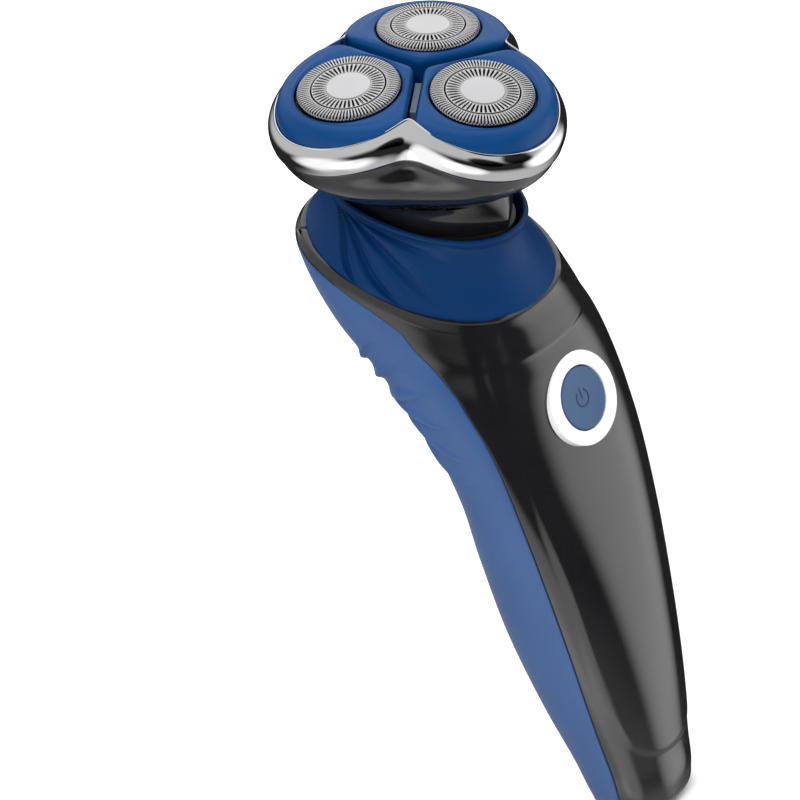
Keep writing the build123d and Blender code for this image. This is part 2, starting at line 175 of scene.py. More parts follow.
def roll_sides(points: np.ndarray, sides: str, radius: float, depth: float,
               gap: float) -> np.ndarray:
    """Rounds chosen sides of a grid, one after another.

    Args:
        points: Grid of points.
        sides: Any of the letters l, r, b, t for left, right, bottom and top.
        radius: Radius of the rounding.
        depth: How far the wall goes in.
        gap: Clearance kept outside the edge.

    Returns:
        The grid with its extra rows and columns.
    """
    for side in sides:
        if side == "t":
            points = roll_edge(points, radius, depth, gap)
        elif side == "b":
            points = -roll_edge(-points[::-1], radius, depth, gap)[::-1]
        elif side == "r":
            turned = -np.swapaxes(points, 0, 1)
            points = np.swapaxes(-roll_edge(turned, radius, depth, gap), 0, 1)
        else:
            turned = np.swapaxes(points, 0, 1)[::-1]
            points = np.swapaxes(roll_edge(turned, radius, depth, gap)[::-1], 0, 1)
    return points


def grid_faces(rows: int, columns: int, wrap: bool) -> np.ndarray:
    """Quads of a grid, each as its four corner indices in outward order.

    Args:
        rows: Number of rows.
        columns: Number of columns.
        wrap: Whether the last column meets the first.

    Returns:
        Rows of four indices.
    """
    last = columns if wrap else columns - 1
    r, c = np.meshgrid(np.arange(rows - 1), np.arange(last), indexing="ij")
    right = (c + 1) % columns
    return np.stack([r * columns + c, r * columns + right, (r + 1) * columns + right,
                     (r + 1) * columns + c], axis=-1).reshape(-1, 4)


def make_piece(name: str, points: np.ndarray, faces: np.ndarray, weld: float = 0.0) -> bpy.types.Object:
    """Puts points in millimetres and faces into a new smooth-shaded object.

    Args:
        name: Piece name.
        points: Points, any shape ending in 3.
        faces: Rows of four indices.
        weld: Distance in millimetres under which points become one, 0 for none.

    Returns:
        The object, linked to the scene.
    """
    points = points.reshape(-1, 3) * MM
    mesh = bpy.data.meshes.new(name)
    mesh.from_pydata(points.tolist(), [], faces.tolist())
    mesh.polygons.foreach_set("use_smooth", np.ones(len(mesh.polygons), bool))
    mesh.update()
    piece = bpy.data.objects.new(name, mesh)
    bpy.context.scene.collection.objects.link(piece)
    if weld > 0:
        weld_points(piece, weld)
    return piece


def weld_points(piece: bpy.types.Object, distance: float) -> None:
    """Joins points that lie together, such as those of a pole.

    Args:
        piece: Object to change.
        distance: Distance in millimetres under which points become one.
    """
    work = bmesh.new()
    work.from_mesh(piece.data)
    bmesh.ops.remove_doubles(work, verts=work.verts, dist=distance * MM)
    bmesh.ops.dissolve_degenerate(work, edges=work.edges, dist=1e-7)
    work.to_mesh(piece.data)
    work.free()


def grid_piece(name: str, points: np.ndarray, wrap: bool = False, weld: float = 0.0) -> bpy.types.Object:
    """Object from one grid of points in millimetres.

    Args:
        name: Piece name.
        points: Grid of points, rows by columns by 3.
        wrap: Whether the last column meets the first.
        weld: Distance under which points become one, 0 for none.

    Returns:
        The object.
    """
    return make_piece(name, points, grid_faces(points.shape[0], points.shape[1], wrap), weld)


def mark(piece: bpy.types.Object, name: str, values: np.ndarray) -> None:
    """Writes one number per point, for the material to read.

    Args:
        piece: Object to write to.
        name: Attribute name.
        values: One value per vertex.
    """
    attribute = piece.data.attributes.new(name, "FLOAT", "POINT")
    attribute.data.foreach_set("value", values.astype(np.float32).ravel())


def lathe(profile: np.ndarray, count: int) -> np.ndarray:
    """Points of a turned shape: each (radius, height) carried round Z from -Y.

    Args:
        profile: Rows of radius and height.
        count: Number of steps round.

    Returns:
        Grid of points, profile by steps by 3.
    """
    angle = np.linspace(0, 2 * math.pi, count, endpoint=False)
    radius, height = profile[:, 0, None], profile[:, 1, None]
    return np.stack([radius * np.sin(angle), -radius * np.cos(angle),
                     height + 0 * angle], axis=-1)


def settle(piece: bpy.types.Object, body: str, finish: "Finish", *nodes: str) -> bpy.types.Object:
    """Rides, dresses and records a finished piece.

    Args:
        piece: The finished object.
        body: CAD body that it moves with.
        finish: Its finish.
        nodes: CAD nodes that it stands for.

    Returns:
        The same object.
    """
    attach(piece, body)
    return dress(piece, finish, *nodes)


def dress(piece: bpy.types.Object, finish: "Finish", *nodes: str) -> bpy.types.Object:
    """Gives a piece its material and hides the CAD nodes that it stands for.

    Args:
        piece: The object.
        finish: Its finish.
        nodes: CAD nodes that it stands for.

    Returns:
        The same object.
    """
    piece.data.materials.clear()
    piece.data.materials.append(finish.material())
    if nodes:
        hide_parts(*nodes)
    LOG.info("%s: %d points", piece.name, len(piece.data.vertices))
    return piece


# ------------------------------------------------------------------ finishes
@dataclass(frozen=True)
class Finish:
    """One finish, as a material with broad colour drift, fine grain and uneven gloss."""

    slot: str
    low: tuple[float, float, float]
    high: tuple[float, float, float]
    roughness: float
    spread: float = 0.04
    metallic: float = 0.0
    coat: float = 0.0
    bump: float = 0.0
    grain: float = 2500.0
    pattern: Pattern = Pattern.MOULDED
    sheen: float = 0.0
    specular: float = 0.5
    transmission: float = 0.0
    # shade: name of a point attribute that paints shade into the colour, empty for none
    shade: str = ""
    label: str = ""

    def material(self) -> bpy.types.Material:
        """The material of this finish, made once."""
        found = bpy.data.materials.get("shaver_" + (self.label or self.slot))
        return found or self.build()

    def build(self) -> bpy.types.Material:
        """Builds the node tree: two scales of noise on Object coordinates drive colour, gloss and bump.

        Returns:
            The new material.
        """
        material = bpy.data.materials.new("shaver_" + (self.label or self.slot))
        material.use_nodes = True
        nodes, links = material.node_tree.nodes, material.node_tree.links
        shader = nodes["Principled BSDF"]
        shader.inputs["Metallic"].default_value = self.metallic
        shader.inputs["Coat Weight"].default_value = self.coat
        shader.inputs["Coat Roughness"].default_value = 0.04
        shader.inputs["Sheen Weight"].default_value = self.sheen
        shader.inputs["Specular IOR Level"].default_value = self.specular
        shader.inputs["Transmission Weight"].default_value = self.transmission
        where = nodes.new("ShaderNodeTexCoord")
        stretch = nodes.new("ShaderNodeMapping")
        if self.pattern is Pattern.BRUSHED:
            stretch.inputs["Scale"].default_value = (1.0, 1.0, 0.04)
        links.new(where.outputs["Object"], stretch.inputs["Vector"])
        broad, fine = nodes.new("ShaderNodeTexNoise"), nodes.new("ShaderNodeTexNoise")
        broad.inputs["Scale"].default_value = 45.0
        broad.inputs["Detail"].default_value = 3.0
        fine.inputs["Scale"].default_value = self.grain
        fine.inputs["Detail"].default_value = 4.0
        links.new(where.outputs["Object"], broad.inputs["Vector"])
        links.new(stretch.outputs["Vector"], fine.inputs["Vector"])
        ramp = nodes.new("ShaderNodeValToRGB")
        ramp.color_ramp.elements[0].position = 0.3
        ramp.color_ramp.elements[1].position = 0.7
        ramp.color_ramp.elements[0].color = (*self.low, 1.0)
        ramp.color_ramp.elements[1].color = (*self.high, 1.0)
        links.new(broad.outputs["Fac"], ramp.inputs["Fac"])
        colour = ramp.outputs["Color"]
        # Painted shade: a point attribute multiplies the colour towards near black where the mesh marks it
        # as lying in shade.
        if self.shade:
            painted_shade = nodes.new("ShaderNodeAttribute")
            painted_shade.attribute_name = self.shade
            mix = nodes.new("ShaderNodeMixRGB")
            mix.blend_type = "MULTIPLY"
            mix.inputs["Color2"].default_value = (0.06, 0.06, 0.065, 1.0)
            links.new(painted_shade.outputs["Fac"], mix.inputs["Fac"])
            links.new(colour, mix.inputs["Color1"])
            colour = mix.outputs["Color"]
        links.new(colour, shader.inputs["Base Color"])
        gloss = nodes.new("ShaderNodeMapRange")
        gloss.inputs["To Min"].default_value = max(self.roughness - self.spread, 0.01)
        gloss.inputs["To Max"].default_value = self.roughness + self.spread
        source = fine if self.pattern in (Pattern.RUBBER, Pattern.BRUSHED) else broad
        links.new(source.outputs["Fac"], gloss.inputs["Value"])
        links.new(gloss.outputs["Result"], shader.inputs["Roughness"])
        if self.bump > 0:
            bump = nodes.new("ShaderNodeBump")
            bump.inputs["Strength"].default_value = self.bump
            bump.inputs["Distance"].default_value = 0.0001
            links.new(fine.outputs["Fac"], bump.inputs["Height"])
            links.new(bump.outputs["Normal"], shader.inputs["Normal"])
        return material


BLACK_GLOSS = Finish("black_gloss", (0.006, 0.006, 0.007), (0.010, 0.010, 0.011), 0.10, 0.03,
                     coat=0.6, specular=0.55)
BLACK_SATIN = Finish("black_satin", (0.008, 0.008, 0.009), (0.014, 0.014, 0.015), 0.38, 0.06,
                     bump=0.10, grain=4000.0)
BLUE_RUBBER = Finish("blue_rubber", (0.010, 0.060, 0.200), (0.013, 0.069, 0.222), 0.42, 0.05,
                     bump=0.12, grain=5200.0, pattern=Pattern.RUBBER, sheen=0.12)
BLUE_BOOT = Finish("blue_boot", (0.0004, 0.022, 0.090), (0.0006, 0.027, 0.104), 0.44, 0.05,
                   bump=0.12, grain=4500.0, pattern=Pattern.RUBBER, specular=0.15)
BLUE_SATIN = Finish("blue_satin", (0.001, 0.038, 0.140), (0.0014, 0.045, 0.158), 0.33, 0.04,
                    bump=0.06, grain=4200.0, specular=0.18)
WHITE_GLOSS = Finish("white_gloss", (0.80, 0.80, 0.80), (0.86, 0.86, 0.86), 0.14, 0.03, coat=0.5)
CHROME = Finish("chrome", (0.80, 0.80, 0.81), (0.88, 0.88, 0.89), 0.05, 0.02, metallic=1.0)
# Foil steel carries painted shade: its depth attribute darkens the comb's groove, the rim's side and the
# ring round the disc.
FOIL_STEEL = Finish("foil_steel", (0.54, 0.54, 0.55), (0.63, 0.63, 0.64), 0.27, 0.06,
                    metallic=1.0, bump=0.15, grain=3200.0, shade="depth")
STEEL = Finish("steel", (0.50, 0.50, 0.51), (0.62, 0.62, 0.63), 0.30, 0.08, metallic=1.0,
               bump=0.08, pattern=Pattern.BRUSHED)
BRASS = Finish("brass", (0.62, 0.42, 0.16), (0.72, 0.50, 0.20), 0.28, 0.06, metallic=1.0, bump=0.05)
NYLON = Finish("nylon", (0.62, 0.61, 0.57), (0.72, 0.71, 0.67), 0.45, 0.05, bump=0.08)
BOARD = Finish("board", (0.010, 0.090, 0.040), (0.016, 0.130, 0.055), 0.38, 0.06, bump=0.10)
CELL_WRAP = Finish("cell_wrap", (0.03, 0.16, 0.22), (0.04, 0.20, 0.27), 0.28, 0.05, bump=0.05)
GREY_PLASTIC = Finish("grey_plastic", (0.060, 0.085, 0.130), (0.075, 0.105, 0.155), 0.36, 0.05,
                      bump=0.08)
FERRITE = Finish("ferrite", (0.006, 0.006, 0.006), (0.014, 0.014, 0.014), 0.62, 0.06, bump=0.25,
                 specular=0.1)
COPPER = Finish("copper", (0.52, 0.20, 0.09), (0.68, 0.29, 0.14), 0.32, 0.06, metallic=1.0,
                bump=0.10, pattern=Pattern.BRUSHED)
CLEAR_LENS = Finish("clear_lens", (0.70, 0.78, 0.82), (0.80, 0.86, 0.90), 0.10, 0.03,
                    transmission=0.7)
BUTTON_BLUE = Finish("blue_satin", (0.030, 0.070, 0.150), (0.034, 0.077, 0.164), 0.34, 0.04,
                     bump=0.05, specular=0.3, label="button_face")
POWER_MARK = Finish("blue_satin", (0.002, 0.014, 0.080), (0.003, 0.018, 0.095), 0.30, 0.04,
                    bump=0.05, label="power_mark")


# ------------------------------------------------------------------ handle
@dataclass
class HandleForm:
    """Outer form of the handle: leaned ovals carried up a smooth curve of stations."""

    # height, centre y, half width, half depth, lean in degrees
    stations: tuple = (
        (0.0, -1.3, 8.0, 7.8, 0.0), (1.2, -1.6, 9.5, 9.2, 0.0), (4.5, -1.9, 10.5, 10.2, 0.0),
        (12.0, -2.0, 11.7, 11.3, 0.0), (28.0, -1.8, 14.6, 13.9, 0.0),
        (48.0, -1.8, 17.8, 15.7, 0.0), (68.0, -2.6, 20.6, 15.4, 0.0),
        (85.0, -3.0, 22.7, 14.1, 0.0), (98.5, -1.0, 23.5, 15.3, 7.5),
        (112.0, 4.65, 23.8, 20.7, 15.4), (119.2, 8.9, 23.3, 24.9, 19.0),
        (127.2, 11.4, 22.6, 28.7, 27.0), (130.3, 12.0, 21.8, 27.7, 25.0),
        (131.75, 11.35, 20.9, 26.8, 25.0))
    seam_y: tuple = (-3.6, -3.8, -4.2, -5.0, -6.6, -8.5, -9.7, -9.9, -8.6, -5.0, -1.2, 4.3)
    # top edge of the grip: angle in degrees from the front, and level
    brow: tuple = ((77.6, 11.0), (81.5, 11.24), (85.3, 11.42), (93.7, 11.70), (104.8, 11.87),
                   (118.0, 11.94), (143.0, 11.98))
    exponent: float = 2.4
    mouth: float = 4.15
    neck: tuple = (17.0, 22.5)
    last_side: float = 11.0
    cap_level: float = 11.98
    cap_angle: float = math.radians(143)

    def spans(self) -> np.ndarray:
        """Chord length of the stations, as the knots of the curve through them."""
        table = np.array(self.stations)
        step = np.hypot(np.diff(table[:, 0]), np.diff(table[:, 1]))
        step = np.hypot(step, np.diff(table[:, 2]))
        return np.concatenate([[0.0], np.cumsum(step)])

    def section(self, level: np.ndarray) -> tuple[np.ndarray, ...]:
        """Reads the oval at a level, where 0 to 13 are the stations.

        Below 0 the oval shrinks to the round mouth at the foot, and above 13 to the neck opening.

        Args:
            level: Levels along the handle.

        Returns:
            Height, centre y, half width, half depth and lean in radians.
        """
        table = np.array(self.stations)
        knots = self.spans()
        top = len(table) - 1
        within = np.clip(level, 0.0, top)
        at = np.interp(within, np.arange(top + 1), knots)
        row = curve_through(knots, table, at)
        height, centre, wide, deep, lean = np.moveaxis(row, -1, 0)
        foot = np.clip(-level, 0.0, 1.0)
        deck = np.clip(level - top, 0.0, 1.0)
        centre = centre * (1 - foot)
        wide = wide + foot * (self.mouth - wide) + deck * (self.neck[0] - wide)
        deep = deep + foot * (self.mouth - deep) + deck * (self.neck[1] - deep)
        return height, centre, wide, deep, np.radians(lean)

    def point(self, level: np.ndarray, angle: np.ndarray) -> np.ndarray:
        """Point of the form: x is a times sin to the power 2/n and y is -b times cos to 2/n, leaned.

        Args:
            level: Levels along the handle.
            angle: Angles round it from the front, positive towards +X.

        Returns:
            Points in millimetres.
        """
        level, angle = np.broadcast_arrays(level, angle)
        height, centre, wide, deep, lean = self.section(level)
        power = 2.0 / self.exponent
        x = wide * signed_power(np.sin(angle), power)
        y = -deep * signed_power(np.cos(angle), power)
        return np.stack([x, centre + y * np.cos(lean), height + y * np.sin(lean)], axis=-1)

    def seam(self, level: np.ndarray) -> np.ndarray:
        """Angle of the seam between front shell and grip at a level.

        Args:
            level: Levels up to the last side station.

        Returns:
            Angles from the front.
        """
        count = len(self.seam_y)
        level = np.asarray(level, float)
        wanted = curve_through(np.arange(count, dtype=float), np.array(self.seam_y),
                               np.clip(level, 0, count - 1))
        _, centre, _, deep, lean = self.section(np.clip(level, 0, count - 1))
        share = np.clip((centre - wanted) / (np.cos(lean) * deep), -1, 1)
        return np.arccos(signed_power(share, self.exponent / 2))

    def front_limit(self, level: np.ndarray) -> np.ndarray:
        """Angle where the front shell ends: the seam, then the grip's top edge, then the rear cap.

        Args:
            level: Levels along the handle.

        Returns:
            Angles from the front.
        """
        turn, rise = np.array(self.brow).T
        turn[0] = math.degrees(float(self.seam(np.array([self.last_side]))[0]))
        above = np.radians(curve_through(rise, turn, level))
        return np.where(level <= self.last_side, self.seam(level), above)

    def grip_top(self, angle: np.ndarray) -> np.ndarray:
        """Level of the grip's top edge, the inverse of front_limit, falling a little behind the cap.

        Args:
            angle: Angles from the front, at or behind the seam's end.

        Returns:
            Levels.
        """
        level = np.linspace(self.last_side, self.cap_level, 200)
        rise = np.interp(angle, self.front_limit(level), level)
        return rise - 0.2 * smooth_step(angle, self.cap_angle, math.pi)


@dataclass
class Shells:
    """Front shell, rear cap and ribbed grip, as skins on the handle's form."""

    form: HandleForm = field(default_factory=HandleForm)
    rounding: float = 0.3
    gap: float = 0.06
    depth: float = 1.6
    step: float = 0.30
    step_width: float = 1.7
    # half width of the raised panel by height
    panel: tuple = ((14.6, 0.0), (14.9, 3.0), (15.9, 6.0), (18.0, 8.6), (21.5, 10.5), (27.0, 12.1),
                    (33.2, 13.3), (46.8, 14.8), (59.8, 15.9), (70.0, 16.9), (80.0, 17.8), (92.0, 18.1),
                    (101.0, 18.0), (107.8, 17.6), (113.2, 16.6), (116.5, 15.3), (119.0, 13.4),
                    (121.5, 11.2), (124.0, 9.0), (135.0, 7.0), (170.0, 5.0))
    # ribs: y and height of the front end, y where the rib levels out, rise towards the back, bump
    ribs: tuple = ((11.9, 121.3, 24.0, -9.0, 0.95), (7.7, 116.0, 22.0, -5.5, 1.0),
                   (2.3, 110.7, 18.0, -2.5, 1.05), (0.0, 103.6, 13.0, 4.6, 1.05),
                   (-2.6, 96.2, 11.0, 7.6, 1.05), (-1.6, 90.4, 10.5, 8.6, 1.0))

    def panel_rise(self, points: np.ndarray) -> np.ndarray:
        """Height of the raised front panel: a smooth step across the signed distance to its outline.

        Args:
            points: Points of the front shell.

        Returns:
            Outward displacement in millimetres.
        """
        outline = np.array([(w, z) for z, w in self.panel])
        knots = np.arange(len(outline), dtype=float)
        dense = curve_through(knots, outline, np.linspace(0, knots[-1], 240))
        x, z = np.abs(points[..., 0]), points[..., 2]
        flat = np.stack([x, z], axis=-1).reshape(-1, 2)
        a, b = dense[:-1], dense[1:]
        along = b - a
        size = np.maximum((along ** 2).sum(-1), 1e-9)
        t = np.clip(((flat[:, None] - a) * along).sum(-1) / size, 0, 1)
        near = a + t[..., None] * along
        gap = np.sqrt(((flat[:, None] - near) ** 2).sum(-1)).min(-1)
        edge = np.interp(flat[:, 1], dense[:, 1], dense[:, 0], left=-1, right=-1)
        inside = np.where(flat[:, 0] < edge, gap, -gap).reshape(x.shape)
        front = smooth_step(-points[..., 1], -30, -4)
        return self.step * smooth_step(inside, -self.step_width / 2, self.step_width / 2) * front

    def rib_rise(self, points: np.ndarray) -> np.ndarray:
        """Height of the grip's ribs: narrow bumps along bent arms that fade at their ends.

        Args:
            points: Points of the grip.

        Returns:
            Outward displacement in millimetres.
        """
        y, z = points[..., 1], points[..., 2]
        rise = np.zeros(y.shape)
        for front, height, back, lift, bump in self.ribs:
            across = z - height - lift * smooth_step(y, front, back)
            fade = smooth_step(y, front - 0.5, front + 7.0)
            wide = 0.45 + 1.25 * fade
            crest = np.where(across > 0, np.exp(-(across / wide) ** 2),
                             np.exp(-(across / (0.55 * wide)) ** 2))
            rise = np.maximum(rise, bump * crest * (0.25 + 0.75 * fade) * smooth_step(y, front - 2.5, front))
        return rise

    def front(self) -> bpy.types.Object:
        """Front shell with its panel, collar and deck, with columns gathered at the panel's crease."""
        form = self.form
        level = np.concatenate([np.linspace(-1, 0, 6)[:-1], np.linspace(0, 3, 20)[:-1],
                                np.linspace(3, 4, 44)[:-1], np.linspace(4, 9, 120)[:-1],
                                np.linspace(9, 11, 44)[:-1],
                                np.linspace(11, form.cap_level, 26)[:-1],
                                np.linspace(form.cap_level, 13, 14)[:-1], np.linspace(13, 14, 6)])
        limit = form.front_limit(level)[:, None]
        height = form.section(level)[0]
        table = np.array(self.panel)
        crease_x = np.interp(height, table[:, 0], table[:, 1], left=9.2, right=9.0)
        crease_x = np.maximum(crease_x, 9.2)
        wide = form.section(level)[2]
        share = np.clip(crease_x / wide, 0, 0.96) ** (form.exponent / 2)
        crease = np.minimum(np.arcsin(share), 0.86 * limit[:, 0])[:, None]
        inner = np.concatenate([np.linspace(0, 0.9, 22)[:-1], np.linspace(0.9, 1.0, 7)])
        outer = np.concatenate([np.linspace(0.0, 0.12, 8)[1:], np.linspace(0.12, 1.0, 22)[1:]])
        half = np.concatenate([crease * inner, crease + (limit - crease) * outer], axis=1)
        angle = np.concatenate([-half[:, :0:-1], half], axis=1)
        points = form.point(level[:, None], angle)
        normal = surface_normals(points)
        points = points + normal * self.panel_rise(points)[..., None]
        points = roll_sides(points, "lr", self.rounding, self.depth, self.gap)
        piece = grid_piece("front_housing", points)
        return self.cut_button(piece)

    def cut_button(self, piece: bpy.types.Object) -> bpy.types.Object:
        """Removes the faces under the button's surround.

        Args:
            piece: The front shell.

        Returns:
            The same object.
        """
        place = ButtonSet().place()
        work = bmesh.new()
        work.from_mesh(piece.data)
        back = place.inverted()
        radius = (ButtonSet().ring - 0.7) * MM
        inside = [f for f in work.faces
                  if (back @ f.calc_center_median()).xy.length < radius and f.calc_center_median().y < 0]
        bmesh.ops.delete(work, geom=inside, context="FACES")
        work.to_mesh(piece.data)
        work.free()
        return settle(piece, "handle", BLACK_GLOSS, "front_shell", "neck_collar")

    def cap(self) -> bpy.types.Object:
        """Rear cap: the part of the collar behind the neck, with its deck."""
        form = self.form
        angle = np.linspace(form.cap_angle, 2 * math.pi - form.cap_angle, 72)[None, :]
        mirrored = np.where(angle > math.pi, 2 * math.pi - angle, angle)
        low = form.grip_top(mirrored)
        rows = np.concatenate([np.linspace(0, 1, 16)[:-1], 1 + np.linspace(0, 1, 7)])[:, None]
        level = np.where(rows <= 1, low + (13 - low) * np.minimum(rows, 1), 12 + rows)
        points = form.point(level, angle + 0 * level)
        points = roll_sides(points, "lrb", self.rounding, self.depth, self.gap)
        return settle(grid_piece("rear_cap_cover", points), "handle", BLACK_GLOSS, "rear_cap")

    def grip(self) -> bpy.types.Object:
        """Blue ribbed grip, a grid whose sides follow the seam and whose top follows the collar."""
        form = self.form
        start = float(form.seam(np.array([form.last_side]))[0])
        share = np.concatenate([np.linspace(0, 0.06, 5)[:-1], np.linspace(0.06, 1, 56)])
        across = np.concatenate([share, 2 - share[-2::-1]])[None, :]
        folded = np.where(across > 1, 2 - across, across)
        row = np.concatenate([np.linspace(0, 0.6, 70)[:-1], np.linspace(0.6, 1, 260)])[:, None]
        foot = np.linspace(-1, 0, 6)[:-1, None]
        high = form.grip_top(start + (math.pi - start) * folded)
        level = np.concatenate([foot + 0 * folded, row * high], axis=0)
        base = np.concatenate([foot, row * form.last_side], axis=0)
        side = form.seam(np.maximum(base, 0))
        angle = side + (math.pi - side) * folded
        angle = np.where(across > 1, 2 * math.pi - angle, angle)
        points = form.point(level, angle)
        normal = surface_normals(points)
        points = points + normal * self.rib_rise(points)[..., None]
        points = roll_sides(points, "lrt", self.rounding, self.depth, self.gap)
        return settle(grid_piece("rear_grip", points), "handle", BLUE_RUBBER, "grip_cover")

    def build(self) -> None:
        """Makes the three skins."""
        self.front()
        self.cap()
        self.grip()


# ------------------------------------------------------------------ button
@dataclass
class ButtonSet:
    """White surround and blue dished button with a power mark."""

    centre: tuple = (0.0, -16.75, 98.4)
    lean: float = 80.0
    ring: float = 9.65
    ring_in: float = 6.65
    cap: float = 6.45
    under: float = -1.65
    mark_radius: float = 1.75
    mark_width: float = 0.2

    def place(self) -> Matrix:
        """Frame of the button, its Z out of the handle."""
        turn = Matrix.Rotation(math.radians(self.lean), 4, "X")
        return Matrix.Translation(Vector(self.centre) * MM) @ turn

    def seat(self, points: np.ndarray) -> np.ndarray:
        """Carries local points to the handle.

        Args:
            points: Points in the button's frame.

        Returns:
            Points in the CAD frame.
        """
        lean = math.radians(self.lean)
        x, y, z = np.moveaxis(points, -1, 0)
        return np.stack([x, y * math.cos(lean) - z * math.sin(lean) + self.centre[1],
                         y * math.sin(lean) + z * math.cos(lean) + self.centre[2]], axis=-1)

    def surround(self) -> bpy.types.Object:
        """White ring: a crowned band with rounded inner and outer edges."""
        angle = np.radians(np.linspace(0, 90, 7))
        r = 0.5
        crown = np.linspace(0, 1, 9)[1:-1]
        width = self.ring - self.ring_in - 2 * r
        outer = np.stack([self.ring - r + r * np.cos(angle), 0.62 - r + r * np.sin(angle)], -1)
        flat = np.stack([self.ring - r - width * crown, 0.62 + 0.14 * np.sin(math.pi * crown)], -1)
        inner = np.stack([self.ring_in + r - r * np.sin(angle), 0.62 - r + r * np.cos(angle)], -1)
        profile = np.concatenate([[[self.ring, -2.5]], outer, flat, inner,
                                  [[self.ring_in, -2.5], [self.ring, -2.5]]])
        return settle(grid_piece("button_surround", self.seat(lathe(profile, 144)), wrap=True),
                      "handle", WHITE_GLOSS, "button_ring")

    def face(self, radius: np.ndarray) -> np.ndarray:
        """Height of the dished face, rising with the square of the radius.

        Args:
            radius: Distances from the middle.

        Returns:
            Heights in the button's frame.
        """
        return 0.02 + 0.34 * (radius / self.cap) ** 2

    def button(self) -> bpy.types.Object:
        """Dished blue cap with a rounded edge."""
        flat = np.linspace(self.cap - 0.35, 0.02, 26)
        angle = np.radians(np.linspace(0, 90, 6))
        top = float(self.face(np.array(self.cap - 0.35)))
        edge = np.stack([self.cap - 0.35 + 0.35 * np.cos(angle), top - 0.35 + 0.35 * np.sin(angle)], -1)
        dish = np.stack([flat, self.face(flat)], -1)[1:]
        profile = np.concatenate([[[0.02, self.under], [self.cap, self.under]], edge, dish])
        return settle(grid_piece("power_button", self.seat(lathe(profile, 128)), wrap=True, weld=0.1),
                      "button", BUTTON_BLUE, "button_cap")

    def stroke(self, name: str, path: np.ndarray, across: np.ndarray) -> bpy.types.Object:
        """One raised stroke: a flat half-round carried along a path on the dished face.

        Args:
            name: Piece name.
            path: Points of the centreline, two numbers each.
            across: Unit vectors across the stroke, one per point.

        Returns:
            The object.
        """
        turn = np.radians(np.linspace(0, 360, 13)[:-1])
        offset = self.mark_width * np.cos(turn)
        flat = path[:, None] + across[:, None] * offset[None, :, None]
        base = self.face(np.hypot(flat[..., 0], flat[..., 1]))
        points = np.concatenate([flat, (base + 0.08 * np.sin(turn))[..., None]], -1)
        ends = points.mean(1, keepdims=True)
        points = np.concatenate([ends[:1] + 0 * points[:1], points, ends[-1:] + 0 * points[-1:]])
        return settle(grid_piece(name, self.seat(points), wrap=True, weld=0.004), "button", POWER_MARK)

    def mark(self) -> None:
        """Power mark: an open circle and a bar."""
        angle = np.radians(np.linspace(90 + 38, 450 - 38, 60))
        ring = self.mark_radius * np.stack([np.cos(angle), np.sin(angle)], -1)
        self.stroke("power_mark_ring", ring, ring / self.mark_radius)
        bar = np.stack([np.zeros(12), np.linspace(-0.1, 2.1, 12)], -1)
        self.stroke("power_mark_bar", bar, np.tile([1.0, 0.0], (12, 1)))

    def build(self) -> None:
        """Makes the surround, the button and its mark."""
        self.surround()
        self.button()
        self.mark()


# ------------------------------------------------------------------ head frame
@dataclass(frozen=True)
class HeadFrame:
    """Frame of the shaving head, leaned about X over the neck."""

    height: float = 172.0
    lean: float = 17.0

    def seat(self, points: np.ndarray) -> np.ndarray:
        """Carries points from the head's frame to the CAD frame.

        Args:
            points: Points about the head axis.

        Returns:
            Points in the CAD frame.
        """
        c, s = math.cos(math.radians(self.lean)), math.sin(math.radians(self.lean))
        x, y, z = np.moveaxis(points, -1, 0)
        return np.stack([x, c * y - s * z, self.height + s * y + c * z], axis=-1)


HEAD = HeadFrame()


